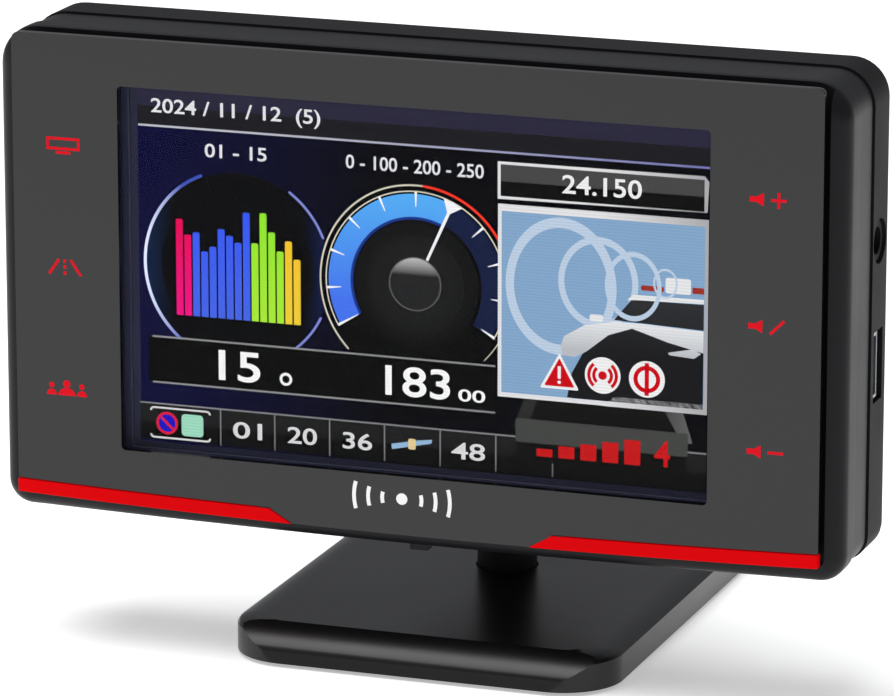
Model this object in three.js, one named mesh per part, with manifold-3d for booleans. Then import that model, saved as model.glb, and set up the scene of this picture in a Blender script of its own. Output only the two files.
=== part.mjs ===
// Dashboard radar detector: a flat display head on a slide-on ball-joint stand. Millimetres, +Z up.
// The driver looks along +Y at the display, +X is to the driver's right, and the origin lies on the
// dashboard under the middle of the whole object.
import * as THREE from "three";
import { mergeVertices } from "three/addons/utils/BufferGeometryUtils.js";
import Module from "manifold-3d";

const wasm = await Module();
wasm.setup();

// ---- driving dimensions ----
const GAP = 0.3; // clearance between neighbouring pieces
const SNUG = 0.15; // thinner seam between pieces that are glued or clipped together
const PANEL_W = 107.5; // front panel
const PANEL_H = 60.6;
const PANEL_R = 1.0;
const PANEL_T = 1.1;
const BOW = 0.95; // how far the panel's lower edge sags at its middle
const CASE_BOW = 0.55; // and the casing's
const FRONT_Y = -33.9; // front face of the panel
const CENTRE_Z = 50.55; // height of the panel's centre over the dashboard
const HEAD_W = 113; // casing outline
const HEAD_TOP = 30.6; // top of the casing over the panel's centre
const HEAD_BOTTOM = 32.8; // bottom of the casing's ends below the panel's centre
const HEAD_R = 5; // its upper corners
const HEAD_LOW_R = 3.4; // its lower corners
const WALL = 1.8;
const FACE = 1.5; // thickness of the bezel's front wall
const TONGUE = 0.9; // how far one shell's tongue reaches into the next
const BEZEL_FRONT = 1.35; // depths behind the panel's front face
const BEZEL_REAR = 6.8;
const BEZEL_ROUND = 2.6; // rounding of its front edge
const MID_REAR = 13;
const COVER_REAR = 22.2;
const COVER_ROUND = 2.8; // rounding of its rear edge
const HUMP_REAR = 27.3;
const HUMP_W = 84;
const HUMP_LOW = -17; // hump's lower and upper edges, from the panel's centre
const HUMP_HIGH = 23;
const WINDOW_W = 78.6; // opening of the panel over the display
const WINDOW_H = 47.7;
const WINDOW_Z = 0.3; // its centre over the panel's centre
const STRIP_H = 1.7; // red accent strips along the panel's lower edge
const STRIP_TIP = 16.0; // where a strip's pointed end stops, from the middle
const STRIP_SLANT = 3.0;
const BASE_W = 52; // foot on the dashboard
const BASE_D = 68;
const BASE_R = 8;
const BASE_H = 5;
const BAND_H = 2; // upright edge of the foot at its front
const NOSE_RUN = 4.2; // length of the foot's sloping front edge
const CROWN = 1; // drop of the foot's top along its sides
const PAD_H = 1.0; // adhesive pad
const PAD_INSET = 1.6;
const STEM_Y = 4.4; // upright post of the stand
const STEM_R = 4;
const STEM_FOOT = 3.1; // height of its lower end, inside the foot
const NECK_R = 2.8;
const BALL_Z = 29;
const BALL_R = 6.5;
const LINER_T = 1.1; // thickness of the two cups round the ball
const SOCKET_R = BALL_R + GAP + LINER_T + GAP; // hollow of the socket
const SOCKET_OUT = 10.2;
const NUT_R = 12.2;
const NUT_LOW = -8.6; // nut's lower and upper faces, from the ball's centre
const NUT_HIGH = 2.4;
const RAIL_W = 22; // slide-on rail in the back of the head
const RAIL_MOUTH = 16;
const RAIL_LIP = 1.6;
const RAIL_T = 2.0;
const RAIL_LOW = HUMP_LOW;
const RAIL_HIGH = 12;
const CARD_W = 11; // memory card
const CARD_L = 15;
const CARD_T = 0.8;
const CARD_Z = -14; // card's centre below the panel's centre
const CARD_DEPTH = 16; // and its depth behind the panel's front face
const JACK_Z = 8; // power inlet on the right side
const DATA_Z = -8; // data inlet below it
const PORT_DEPTH = 16.3;
const SCREW_X = 49; // rear case screws
const SCREW_Z = 24;
const SCREW_HEAD = COVER_REAR - 1.6; // depth of the underside of their heads
const BOARD_REAR = 12; // depth of the main board's rear face
const BOARD_T = 1.4;
const SPEAKER_X = 27; // centre of the speaker
const SPEAKER_Z = 5;

const depth = (d) => FRONT_Y + d; // y of a plane d behind the panel's front face
const group = new THREE.Group();

// ---- materials ----
const finish = (color, roughness, metalness = 0) =>
  new THREE.MeshStandardMaterial({ color, roughness, metalness });
const satinBlack = finish(0x26272a, 0.45);
const matteBlack = finish(0x202123, 0.6);
const smokedPanel = finish(0x404044, 0.25);
const clearWindow = finish(0x9aa0a8, 0.05);
const redAccent = finish(0xd00808, 0.15);
const screenGlass = finish(0x0a0f24, 0.1);
const whiteDiffuser = finish(0xe6e8ea, 0.4);
const greenBoard = finish(0x1c4a30, 0.5);
const ceramic = finish(0xc9c2ae, 0.5);
const tinned = finish(0xb6babf, 0.3, 1);
const steel = finish(0x8d9096, 0.35, 1);
const nylon = finish(0xd8d6cc, 0.5);
const rubberPad = finish(0x1a1a1b, 0.9);

// ---- helpers ----
// A three.js geometry as a closed solid.
function solid(geometry) {
  const bare = new THREE.BufferGeometry();
  const loose = geometry.index ? geometry.toNonIndexed() : geometry;
  bare.setAttribute("position", loose.getAttribute("position"));
  const merged = mergeVertices(bare, 1e-4);
  const vertProperties = new Float32Array(merged.attributes.position.array);
  const triVerts = new Uint32Array(merged.index.array);
  return new wasm.Manifold(new wasm.Mesh({ numProp: 3, vertProperties, triVerts }));
}

// Adds a solid to the group as a named mesh.
function add(name, shape, material) {
  const { vertProperties, triVerts } = shape.getMesh();
  const geometry = new THREE.BufferGeometry();
  geometry.setAttribute("position", new THREE.BufferAttribute(vertProperties, 3));
  geometry.setIndex(new THREE.BufferAttribute(triVerts, 1));
  geometry.computeVertexNormals();
  const mesh = new THREE.Mesh(geometry, material);
  mesh.name = name;
  group.add(mesh);
}

// A rounded rectangle drawn in x and z, its lower edge sagging by bow at the middle.
function outline(width, top, bottom, radius, bow = 0, lowRadius = radius) {
  const half = width / 2;
  const low = lowRadius;
  const shape = new THREE.Shape();
  shape.absarc(half - radius, top - radius, radius, 0, Math.PI / 2, false);
  shape.absarc(-half + radius, top - radius, radius, Math.PI / 2, Math.PI, false);
  shape.absarc(-half + low, -bottom + low, low, Math.PI, 1.5 * Math.PI, false);
  const steps = bow ? 12 : 0;
  for (let i = 1; i < steps; i++) {
    const t = (2 * i) / steps - 1;
    shape.lineTo(t * (half - low), -bottom - bow * (1 - t * t));
  }
  shape.absarc(half - low, -bottom + low, low, 1.5 * Math.PI, 2 * Math.PI, false);
  return shape;
}

// A flat shape drawn in x and z, made solid from depth front to depth rear of the head, with its front
// and rear edges rounded.
function slab(shape, front, rear, roundFront = 0, roundRear = 0) {
  const curveSegments = 5;
  const extrude = (round, from, to) => {
    const bevel = {
      bevelEnabled: round > 0,
      bevelThickness: round,
      bevelSize: round,
      bevelOffset: -round,
      bevelSegments: 4,
    };
    const settings = { depth: to - from - 2 * round, curveSegments, steps: 1, ...bevel };
    const geometry = new THREE.ExtrudeGeometry(shape, settings);
    geometry.rotateX(Math.PI / 2).translate(0, depth(to - round), CENTRE_Z);
    return solid(geometry);
  };
  if (!roundFront && !roundRear) return extrude(0, front, rear);
  const reach = 20; // past the end that is cut square
  const a = extrude(roundFront, front, rear + (roundRear ? reach : roundFront));
  const b = roundRear ? extrude(roundRear, front - reach, rear) : box(-200, 200, front, rear, -200, 200);
  return a.intersect(b);
}

// A box from x0 to x1, between two depths of the head, and z0 to z1 from the panel's centre.
function box(x0, x1, front, rear, z0, z1) {
  const geometry = new THREE.BoxGeometry(x1 - x0, rear - front, z1 - z0);
  geometry.translate((x0 + x1) / 2, depth((front + rear) / 2), CENTRE_Z + (z0 + z1) / 2);
  return solid(geometry);
}

// A profile of radius and height turned round the stem's upright axis.
function turned(points, segments = 32) {
  const profile = points.map(([r, z]) => new THREE.Vector2(r, z));
  const geometry = new THREE.LatheGeometry(profile, segments);
  return solid(geometry.rotateX(Math.PI / 2).translate(0, STEM_Y, BALL_Z));
}

// A round rod or hole along Y at x, z from the panel's centre, between two depths of the head.
function rod(x, z, radius, front, rear, segments = 20) {
  const geometry = new THREE.CylinderGeometry(radius, radius, rear - front, segments);
  return solid(geometry.translate(x, depth((front + rear) / 2), CENTRE_Z + z));
}

// A round rod or hole along X, from x0 to x1, at a depth and height of the head.
function crossRod(x0, x1, at, z, radius, segments = 20) {
  const geometry = new THREE.CylinderGeometry(radius, radius, x1 - x0, segments);
  return solid(geometry.rotateZ(Math.PI / 2).translate((x0 + x1) / 2, depth(at), CENTRE_Z + z));
}

// Points of an arc about the ball's centre, by angle from straight up in degrees.
function arc(radius, from, to, steps) {
  const points = [];
  for (let i = 0; i <= steps; i++) {
    const angle = ((from + ((to - from) * i) / steps) * Math.PI) / 180;
    points.push([radius * Math.sin(angle), radius * Math.cos(angle)]);
  }
  return points;
}

// The casing's outline, drawn in by inset.
function casing(inset = 0) {
  const least = 2;
  const upper = Math.max(HEAD_R - inset, least);
  const lower = Math.max(HEAD_LOW_R - inset, least);
  return outline(HEAD_W - 2 * inset, HEAD_TOP - inset, HEAD_BOTTOM - inset, upper, CASE_BOW, lower);
}

// The outline of the display's opening, made larger by grow.
function opening(grow) {
  const half = WINDOW_H / 2 + grow;
  return outline(WINDOW_W + 2 * grow, WINDOW_Z + half, half - WINDOW_Z, 0.6);
}

// Height of the panel's bowed lower edge at x.
function panelEdge(x) {
  return -PANEL_H / 2 - BOW * (1 - ((2 * x) / PANEL_W) ** 2);
}

// ---- front of the head ----
// Red strip on one side (-1 left, 1 right): a band that follows the bowed edge and ends in a slant.
// The panel's cut for it is larger by grow, and runs out past the panel's edge.
function accentStrip(side, grow) {
  const shape = new THREE.Shape();
  const outer = PANEL_W / 2 + grow;
  const [below, above] = [6 * grow, STRIP_H + grow];
  const slope = STRIP_SLANT / STRIP_H;
  const tip = STRIP_TIP - 2 * grow;
  const [tipLow, tipHigh] = [tip - slope * below, tip + slope * above];
  const steps = 6;
  shape.moveTo(tipLow * side, panelEdge(tip) - below);
  for (let i = 1; i <= steps; i++) {
    const x = tipLow + ((outer - tipLow) * i) / steps;
    shape.lineTo(x * side, panelEdge(x) - below);
  }
  for (let i = 0; i <= steps; i++) {
    const x = outer + ((tipHigh - outer) * i) / steps;
    shape.lineTo(x * side, panelEdge(x) + above);
  }
  return shape;
}

function frontPanel() {
  const shape = outline(PANEL_W, PANEL_H / 2, PANEL_H / 2, PANEL_R, BOW);
  let panel = slab(shape, 0, PANEL_T).subtract(slab(opening(0), -1, PANEL_T + 1));
  for (const side of [-1, 1]) {
    panel = panel.subtract(slab(accentStrip(side, SNUG), -1, PANEL_T + 1));
  }
  add("front_panel", panel, smokedPanel);
  add("display_window", slab(opening(-SNUG), SNUG, PANEL_T), clearWindow);
  const proud = 0.25;
  add("accent_strip_left", slab(accentStrip(-1, 0), -proud, PANEL_T), redAccent);
  add("accent_strip_right", slab(accentStrip(1, 0), -proud, PANEL_T), redAccent);
}

// ---- casing shells ----
// Front shell, with the small catch under its middle.
function bezel() {
  const catchLow = -HEAD_BOTTOM - CASE_BOW - 0.8;
  const body = slab(casing(), BEZEL_FRONT, BEZEL_REAR, BEZEL_ROUND)
    .subtract(slab(casing(WALL), BEZEL_FRONT + FACE, BEZEL_REAR + 1))
    .subtract(slab(opening(0.6), 0, BEZEL_REAR))
    .add(box(-1.3, 1.3, 3.4, 5.2, catchLow, -HEAD_BOTTOM));
  add("front_bezel", body, satinBlack);
}

// Middle band, a little smaller than its neighbours, with a tongue into the bezel.
function midFrame() {
  const body = slab(casing(0.25), BEZEL_REAR + SNUG, MID_REAR)
    .add(slab(casing(WALL + SNUG), BEZEL_REAR - TONGUE, BEZEL_REAR + 1))
    .subtract(slab(casing(WALL + 1.2), 0, MID_REAR + 1));
  add("mid_frame", body, satinBlack);
}

// Rear shell: a shallow tray with a hump over the speaker and the rail.
function rearCover() {
  const hump = outline(HUMP_W, HUMP_HIGH, -HUMP_LOW, 6);
  const inner = outline(HUMP_W - 2 * WALL, HUMP_HIGH - WALL, -HUMP_LOW - WALL, 4.4);
  const front = MID_REAR + SNUG;
  let cover = slab(casing(), front, COVER_REAR, 0, COVER_ROUND)
    .add(slab(hump, front + 1, HUMP_REAR, 0, 3))
    .add(slab(casing(WALL + 1.2 + SNUG), MID_REAR - TONGUE, front + 1))
    .subtract(slab(casing(WALL + 2.2), 0, COVER_REAR - WALL, 0, 1.2))
    .subtract(slab(inner, 0, HUMP_REAR - WALL, 0, 2));
  cover = cutRail(cover);
  cover = cutGrilles(cover);
  cover = cutSides(cover);
  const [bossR, wellR, boreR] = [3.4, 2.6, 1.3];
  for (const [x, z] of screwPlaces()) {
    cover = cover
      .add(rod(x, z, bossR, front + 1, COVER_REAR - 1.5))
      .subtract(rod(x, z, wellR, SCREW_HEAD - GAP, COVER_REAR + 1))
      .subtract(rod(x, z, boreR, front - 2, COVER_REAR));
  }
  add("rear_cover", cover, matteBlack);
}

// The rail: a block inside the hump, with a slot that is wider behind its mouth and open below.
function cutRail(cover) {
  const railFront = HUMP_REAR - RAIL_LIP - RAIL_T - 2 * GAP;
  const [half, mouth, below] = [RAIL_W / 2, RAIL_MOUTH / 2, -50];
  const block = half + 2.4;
  return cover
    .add(box(-block, block, railFront - 1.6, HUMP_REAR - 1, RAIL_LOW + 1, RAIL_HIGH + 2))
    .subtract(box(-half, half, railFront, HUMP_REAR - RAIL_LIP, below, RAIL_HIGH))
    .subtract(box(-mouth, mouth, railFront, HUMP_REAR + 1, below, RAIL_HIGH));
}

// Level slots over the speaker on one side of the rail, upright vents over the board on the other.
function cutGrilles(cover) {
  const [front, rear, pitch] = [HUMP_REAR - 3, HUMP_REAR + 1, 4];
  for (let i = 0; i < 5; i++) {
    const z = SPEAKER_Z + pitch * (i - 2);
    cover = cover.subtract(box(SPEAKER_X - 8, SPEAKER_X + 8, front, rear, z - 0.8, z + 0.8));
  }
  for (let i = 0; i < 4; i++) {
    const x = -34 + pitch * i;
    cover = cover.subtract(box(x - 0.9, x + 0.9, front, rear, -4, 12));
  }
  return cover;
}

// Holes of the two inlets on the right, and the card slot with its thumb notch on the left.
function cutSides(cover) {
  const side = HEAD_W / 2;
  const [from, to] = [side - 6, side + 1];
  const slot = [CARD_DEPTH - 0.8, CARD_DEPTH + 0.8];
  const notch = [CARD_DEPTH - 1.6, CARD_DEPTH + 1.6];
  return cover
    .subtract(crossRod(from, to, PORT_DEPTH, JACK_Z, 2.9))
    .subtract(box(from, to, PORT_DEPTH - 2, PORT_DEPTH + 2, DATA_Z - 4.6, DATA_Z + 4.6))
    .subtract(box(-to, -from, ...slot, CARD_Z - 6, CARD_Z + 6))
    .subtract(box(-to, -side + 1, ...notch, CARD_Z - 3.5, CARD_Z + 3.5));
}

function screwPlaces() {
  return [
    [-SCREW_X, SCREW_Z],
    [SCREW_X, SCREW_Z],
    [-SCREW_X, -SCREW_Z],
    [SCREW_X, -SCREW_Z],
  ];
}

// Cross-slotted screws that hold the rear cover.
function caseScrews() {
  const top = SCREW_HEAD + 1.3;
  const [long, thin] = [1.3, 0.25];
  screwPlaces().forEach(([x, z], i) => {
    const screw = rod(x, z, 2.2, SCREW_HEAD, top)
      .add(rod(x, z, 1.0, SCREW_HEAD - 4, SCREW_HEAD + 0.5, 12))
      .subtract(box(x - long, x + long, top - 0.7, top + 0.7, z - thin, z + thin))
      .subtract(box(x - thin, x + thin, top - 0.7, top + 0.7, z - long, z + long));
    add(`case_screw_${i + 1}`, screw, steel);
  });
}

// ---- display and boards ----
// Liquid-crystal display: a tinned frame round the glass and its backlight.
function display() {
  const [half, top, low] = [41.2, 26.4, -26.0];
  const [rim, wall] = [2.1, 0.8];
  const frame = box(-half, half, 3.1, 8.2, low, top)
    .subtract(box(-half + rim, half - rim, 2, 4, low + rim, top - rim))
    .subtract(box(-half + wall, half - wall, 3.6, 9, low + wall, top - wall));
  add("lcd_frame", frame, tinned);
  const inset = wall + GAP;
  const [gx, gl, gt] = [half - inset, low + inset, top - inset];
  add("lcd_glass", box(-gx, gx, 3.9, 5.1, gl, gt), screenGlass);
  add("backlight_unit", box(-gx, gx, 5.4, 8.0, gl, gt), whiteDiffuser);
}

// Narrow boards with the touch keys, behind the panel beside the display.
function touchBoards() {
  const [x, half] = [46.6, 4.2];
  add("touch_board_left", box(-x - half, -x + half, 3.2, 4.2, -22, 22), greenBoard);
  add("touch_board_right", box(x - half, x + half, 3.2, 4.2, -22, 22), greenBoard);
}

// Main board and the large parts on its rear face.
function boards() {
  add("main_board", box(-50, 50, BOARD_REAR - BOARD_T, BOARD_REAR, -26, 26), greenBoard);
  const on = BOARD_REAR + GAP;
  const antenna = box(-38, -20, on, on + 4, 4.5, 20).add(rod(-29, 12.3, 1.2, on + 3, on + 4.6));
  add("gps_antenna", antenna, ceramic);
  add("shield_can", box(-17, 3, on, on + 2.6, -24, -6), tinned);
  const throat = box(-15.5, 12.5, on + 2, on + 10, 15.8, 19.4);
  add("receiver_horn", box(-17, 14, on, on + 9, 14.6, 20.6).subtract(throat), tinned);
  add("backup_cell", crossRod(-33.5, -19.5, on + 4, -10, 3.4), steel);
}

// Speaker against the slots of the hump: a basket with its magnet, and the cone in it.
function speaker() {
  const [x, z] = [SPEAKER_X, SPEAKER_Z];
  const rear = HUMP_REAR - WALL - GAP;
  const ring = rod(x, z, 11.6, rear - 3.9, rear, 28)
    .add(rod(x, z, 7, rear - 8.9, rear - 2.9, 24))
    .subtract(rod(x, z, 10.2, rear - 2.3, HUMP_REAR, 28));
  add("speaker_frame", ring, steel);
  const dome = rod(x, z, 4, rear - 1.9, rear - 0.4, 20);
  add("speaker_cone", rod(x, z, 9.8, rear - 2.0, rear - 1.1, 28).add(dome), matteBlack);
}

// Power inlet: a barrel with a centre pin, its nose in the hole of the cover.
function powerInlet() {
  const side = HEAD_W / 2;
  const nose = side - 0.4;
  const jack = box(side - 13, side - 5, PORT_DEPTH - 3, PORT_DEPTH + 0.9, JACK_Z - 3, JACK_Z + 3)
    .add(crossRod(side - 6, nose, PORT_DEPTH, JACK_Z, 2.6))
    .subtract(crossRod(side - 9, side + 1, PORT_DEPTH, JACK_Z, 1.8, 16))
    .add(crossRod(side - 9.5, side - 1, PORT_DEPTH, JACK_Z, 0.6, 12));
  add("power_inlet", jack, matteBlack);
}

// Data inlet: a metal shell with a tongue.
function dataInlet() {
  const side = HEAD_W / 2;
  const [front, rear, half] = [PORT_DEPTH - 1.7, PORT_DEPTH + 0.9, 4.2];
  const wall = 0.4;
  const mouth = half - wall;
  const data = box(side - 9, side - 0.4, front, rear, DATA_Z - half, DATA_Z + half)
    .subtract(box(side - 8, side + 1, front + wall, rear - wall, DATA_Z - mouth, DATA_Z + mouth))
    .add(box(side - 8.5, side - 1.6, front + 1, front + 1.6, DATA_Z - 3, DATA_Z + 3));
  add("data_inlet", data, tinned);
}

// Card socket: a flat cage open towards the left side, and the card in it.
function cardSocket() {
  const outer = -HEAD_W / 2;
  const [front, rear] = [CARD_DEPTH - CARD_T / 2 - GAP, CARD_DEPTH + CARD_T / 2 + GAP];
  const half = CARD_W / 2 + GAP;
  const [mouth, end] = [outer + 4.6, outer + 4 + CARD_L];
  const cage = box(mouth, end + 1.6, front - 0.5, rear + 0.5, CARD_Z - half - 0.6, CARD_Z + half + 0.6)
    .subtract(box(mouth - 3, end, front, rear, CARD_Z - half, CARD_Z + half));
  add("card_socket", cage, tinned);
  const [cardFront, cardRear] = [CARD_DEPTH - CARD_T / 2, CARD_DEPTH + CARD_T / 2];
  const left = outer + 0.5;
  const [cardLow, cardTop] = [CARD_Z - CARD_W / 2, CARD_Z + CARD_W / 2];
  add("memory_card", box(left, left + CARD_L, cardFront, cardRear, cardLow, cardTop), matteBlack);
}

// ---- stand ----
// An upright slab of the foot's plan, drawn in by inset, between two heights.
function footSlab(inset, z0, z1) {
  const half = BASE_D / 2 - inset;
  const plan = outline(BASE_W - 2 * inset, half, half, BASE_R - inset);
  const settings = { depth: z1 - z0, bevelEnabled: false, curveSegments: 6 };
  return solid(new THREE.ExtrudeGeometry(plan, settings).translate(0, 0, z0));
}

// An upright hole on the stem's axis, between two heights over the dashboard.
function stemBore(radius, z0, z1, segments = 20) {
  const [low, high] = [z0 - BALL_Z, z1 - BALL_Z];
  return turned([[0, low], [radius, low], [radius, high], [0, high]], segments);
}

// Foot: the side profile with its sloping nose, cut to a rounded plan and softened round its top edge.
function foot() {
  const halfD = BASE_D / 2;
  const low = 0.5;
  const profile = new THREE.Shape();
  profile.moveTo(-halfD, low);
  profile.lineTo(halfD, low);
  profile.lineTo(halfD, BASE_H - CROWN);
  profile.lineTo(halfD - 4, BASE_H);
  profile.lineTo(-halfD + NOSE_RUN, BASE_H);
  profile.quadraticCurveTo(-halfD + 1.7, BASE_H - 1, -halfD + 0.3, BAND_H);
  const across = { depth: BASE_W + 2, bevelEnabled: false, curveSegments: 6 };
  const long = new THREE.ExtrudeGeometry(profile, across);
  // The profile is drawn in y and z, so the extrusion is turned to run along X.
  long.rotateX(Math.PI / 2).rotateZ(Math.PI / 2).translate(-BASE_W / 2 - 1, 0, 0);
  const [slope, tall] = [4, 12];
  const crown = { bevelThickness: CROWN, bevelSize: slope, bevelOffset: -slope, bevelSegments: 4 };
  const plan = outline(BASE_W, halfD, halfD, BASE_R);
  const softened = new THREE.ExtrudeGeometry(plan, { depth: tall, curveSegments: 6, ...crown });
  softened.translate(0, 0, BASE_H - CROWN - tall);
  const plate = solid(long)
    .intersect(solid(softened))
    .subtract(footSlab(PAD_INSET - GAP, -1, PAD_H + GAP))
    .subtract(stemBore(STEM_R + 0.2, 3, 9, 24))
    .subtract(stemBore(1.8, -1, 4, 16))
    .subtract(stemBore(3.6, -1, 1.9));
  add("base_plate", plate, satinBlack);
  const pad = footSlab(PAD_INSET, 0, PAD_H).subtract(stemBore(4.2, -1, 2));
  add("adhesive_pad", pad, rubberPad);
}

// Post with the ball on its top.
function stem() {
  const neckTop = -Math.sqrt(BALL_R ** 2 - NECK_R ** 2);
  const neckAngle = 180 - (Math.asin(NECK_R / BALL_R) * 180) / Math.PI;
  const profile = [
    ...arc(BALL_R, 0, neckAngle, 12),
    [NECK_R, neckTop - 2.5],
    [STEM_R, neckTop - 5.5],
    [STEM_R, STEM_FOOT - BALL_Z],
    [0, STEM_FOOT - BALL_Z],
  ];
  const bore = stemBore(1.5, STEM_FOOT - 1, STEM_FOOT + 7, 16);
  add("ball_stem", turned(profile.reverse()).subtract(bore), satinBlack);
}

// Slotted screw that holds the post from under the foot.
function stemScrew() {
  const [head, neck, tip] = [0.55, 1.65, STEM_FOOT + 6.5];
  const shank = stemBore(1.2, neck - 0.5, tip);
  const slot = new THREE.BoxGeometry(4, 0.7, 1.2).translate(0, STEM_Y, 0.4);
  add("stem_screw", stemBore(3.2, head, neck).add(shank).subtract(solid(slot)), steel);
}

// The two cups that hold the ball: one over it and one under its widest part.
function cups() {
  const inner = BALL_R + GAP;
  const outer = inner + LINER_T;
  add("upper_cup", turned([...arc(inner, 0, 62, 6), ...arc(outer, 62, 0, 6)]), nylon);
  const lower = [...arc(inner, 96, 130, 4), ...arc(outer, 130, 96, 4)];
  add("lower_cup", turned([...lower, lower[0]]), nylon);
}

// Ring nut: threaded over the socket, with a seat under the lower cup and finger grooves outside.
function nut() {
  const bore = SOCKET_OUT + GAP;
  const seatTop = -4.2;
  const seatAngle = (z) => (Math.acos(z / SOCKET_R) * 180) / Math.PI;
  let ring = turned([
    [bore, NUT_HIGH],
    [bore, seatTop],
    ...arc(SOCKET_R, seatAngle(seatTop), seatAngle(-6), 3),
    [6.9, NUT_LOW],
    [NUT_R - 0.8, NUT_LOW],
    [NUT_R, NUT_LOW + 0.8],
    [NUT_R, NUT_HIGH - 0.8],
    [NUT_R - 0.8, NUT_HIGH],
    [bore, NUT_HIGH],
  ]);
  const grooves = 12;
  for (let i = 0; i < grooves; i++) {
    const angle = (2 * Math.PI * i) / grooves;
    const groove = new THREE.CylinderGeometry(1.3, 1.3, 30, 10).rotateX(Math.PI / 2);
    const reach = NUT_R + 0.6;
    groove.translate(reach * Math.cos(angle), STEM_Y + reach * Math.sin(angle), BALL_Z);
    ring = ring.subtract(solid(groove));
  }
  add("clamp_nut", ring, matteBlack);
}

// Socket with its back plate and the tongue that slides into the head's rail.
function arm() {
  const [socketLow, socketTop, shoulder] = [-3.6, 12.5, 9];
  const cup = turned([
    [0, socketLow],
    [SOCKET_OUT, socketLow],
    [SOCKET_OUT, shoulder],
    [SOCKET_OUT - 2.4, socketTop],
    [0, socketTop],
  ]);
  const hollow = turned([[0, -30], [6, -30], ...arc(SOCKET_R, 118, 0, 12), [0, SOCKET_R]]);
  const plateFront = HUMP_REAR + GAP;
  const axis = STEM_Y - FRONT_Y; // depth of the stem's axis
  const ballLevel = BALL_Z - CENTRE_Z; // the ball's height from the panel's centre
  const plateHigh = RAIL_HIGH + 4;
  const plate = box(-13, 13, plateFront, plateFront + 2.6, ballLevel + 4.4, plateHigh);
  const web = box(-2, 2, plateFront + 1, axis + 3, ballLevel + 7.5, plateHigh - 6);
  const tongueFront = HUMP_REAR - RAIL_LIP - RAIL_T - GAP;
  const tongueRear = tongueFront + RAIL_T - GAP;
  const [low, high] = [RAIL_LOW + 0.5, RAIL_HIGH - GAP];
  const [wide, narrow] = [RAIL_W / 2 - GAP, RAIL_MOUTH / 2 - GAP];
  const bracket = cup
    .add(plate)
    .add(web)
    .add(box(-wide, wide, tongueFront, tongueRear, low, high))
    .add(box(-narrow, narrow, tongueFront, plateFront + 1, low, high))
    .subtract(hollow);
  add("socket_arm", bracket, satinBlack);
}

frontPanel();
bezel();
midFrame();
rearCover();
caseScrews();
display();
touchBoards();
boards();
speaker();
powerInlet();
dataInlet();
cardSocket();
foot();
stem();
stemScrew();
cups();
nut();
arm();

export default group;
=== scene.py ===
"""Finish model of a dashboard radar detector: a display head that slides onto a ball-joint stand.

Places are millimetres from the middle of the head's front panel: x to the driver's right, depth away
from the driver, z up. The at() function turns them into the frame's metres.
"""

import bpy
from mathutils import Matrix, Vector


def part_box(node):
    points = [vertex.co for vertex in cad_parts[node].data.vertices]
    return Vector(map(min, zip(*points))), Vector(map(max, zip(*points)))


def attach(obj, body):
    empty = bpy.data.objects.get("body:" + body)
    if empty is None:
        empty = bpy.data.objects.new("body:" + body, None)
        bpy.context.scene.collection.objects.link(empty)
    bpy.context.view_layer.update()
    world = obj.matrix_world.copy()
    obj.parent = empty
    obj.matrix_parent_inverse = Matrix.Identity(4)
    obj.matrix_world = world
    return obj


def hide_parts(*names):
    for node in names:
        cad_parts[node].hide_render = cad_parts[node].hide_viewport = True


bl_info = {
    "name": "Radar Detector Finish",
    "version": (1, 0, 0),
    "blender": (4, 5, 0),
    "location": "3D View > Sidebar > Detector",
    "description": "Builds the visible pieces of a dashboard radar detector around its fixed frame",
    "category": "Object",
}

from math import cos, pi, radians, sin

import bmesh
import bpy
from mathutils import Vector

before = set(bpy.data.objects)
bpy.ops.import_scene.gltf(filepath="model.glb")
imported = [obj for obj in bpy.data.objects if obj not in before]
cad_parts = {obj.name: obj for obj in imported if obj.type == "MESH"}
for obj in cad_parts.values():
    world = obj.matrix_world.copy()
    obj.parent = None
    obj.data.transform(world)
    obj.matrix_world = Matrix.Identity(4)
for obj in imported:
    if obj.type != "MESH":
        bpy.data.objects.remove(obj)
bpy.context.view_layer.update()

MM = 0.001
PANEL_LOW, PANEL_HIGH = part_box("front_panel")
FRONT = PANEL_LOW.y  # front face of the panel
PANEL_HALF = PANEL_HIGH.x / MM
PANEL_TOP = 30.3  # panel's upper edge over its centre
PANEL_BOW = 0.95  # sag of the panel's lower edge
PANEL_BACK = 1.1  # depth of the panel's back face
CENTRE_Z = PANEL_HIGH.z - PANEL_TOP * MM
OPENING = (39.3, 24.15, 23.55)  # display opening: half its width, its top and its bottom
CASE_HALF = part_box("front_bezel")[1].x / MM
CASE_TOP, CASE_BOTTOM = 30.6, 32.8
CASE_BOW = 0.55
CASE_CORNERS = (5, 3.4)  # radii of the casing's upper and lower corners
LEAST_CORNER = 2
BEZEL_FRONT, BEZEL_BACK = 1.35, 6.8
BAND_FRONT, BAND_BACK = 6.95, 13
FULL = (-38.1, 38.1)  # the picture's left and right edges
SCREEN = 3.86  # depth of the picture's lowest layer
LAYER = 0.03  # each layer of the picture lies this far in front of the last
INK = -0.02  # depth of printed marks on the panel
PEN = 0.36  # line width of the key marks
KEY_COLUMN = 46.8
KEY_ROWS = (16, 0, -16)
BOW_STEPS = 28
CORNER_STEPS = 10
WAVE = 0.314  # metres between the bands of a wave texture of scale 1
EPS = 1e-6  # places closer than this, in metres, are one place


def linear(code):
    """An sRGB hex colour as linear red, green and blue."""
    parts = [int(code[i : i + 2], 16) / 255 for i in (1, 3, 5)]
    return tuple(c / 12.92 if c <= 0.04045 else ((c + 0.055) / 1.055) ** 2.4 for c in parts)


def at(x, depth, z):
    """A place on the head, in metres."""
    return Vector((x * MM, FRONT + depth * MM, CENTRE_Z + z * MM))


# ---- modelling tools ----


def clear_selection():
    """Leaves edit mode and deselects everything."""
    if bpy.context.object and bpy.context.object.mode != "OBJECT":
        bpy.ops.object.mode_set(mode="OBJECT")
    bpy.ops.object.select_all(action="DESELECT")


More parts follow.
